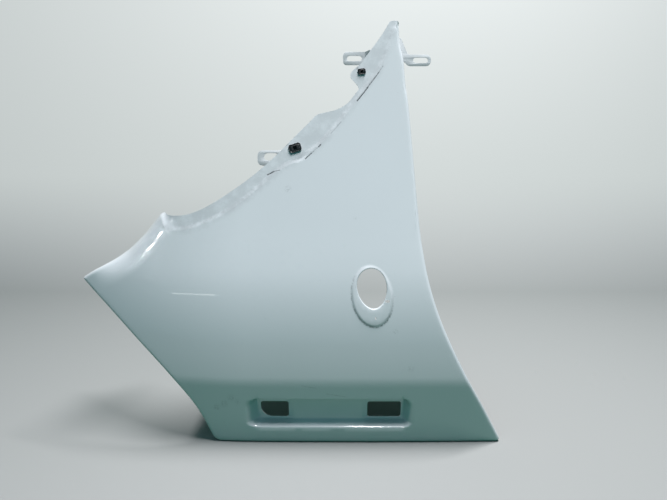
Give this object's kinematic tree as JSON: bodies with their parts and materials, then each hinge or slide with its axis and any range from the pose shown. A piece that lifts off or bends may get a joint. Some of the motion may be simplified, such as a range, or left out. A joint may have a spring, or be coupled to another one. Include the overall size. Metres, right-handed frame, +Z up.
{
  "type": "car fender",
  "caption": "Pressed front corner fender panel with rolled edges, joggled mounting strip, oval lamp hole, long pocket, slotted bracket ears and screw grommets.",
  "frame": {"origin": "inboard face of the upper bracket's front ear, between its slot and its end", "axes": "+X to the rear of the vehicle, +Y inboard, +Z up; the painted outer face looks along -Y"},
  "size_m": [0.6594, 0.1448, 0.6383],
  "materials": {
    "white_paint": "gloss clear-coated white",
    "black_plastic": "moulded satin"
  },
  "bodies": {
    "root": {"fender_panel": "white_paint", "upper_bracket": "white_paint", "mid_bracket": "white_paint", "screw_grommet_upper": "black_plastic", "screw_grommet_lower": "black_plastic"}
  },
  "joints": []
}
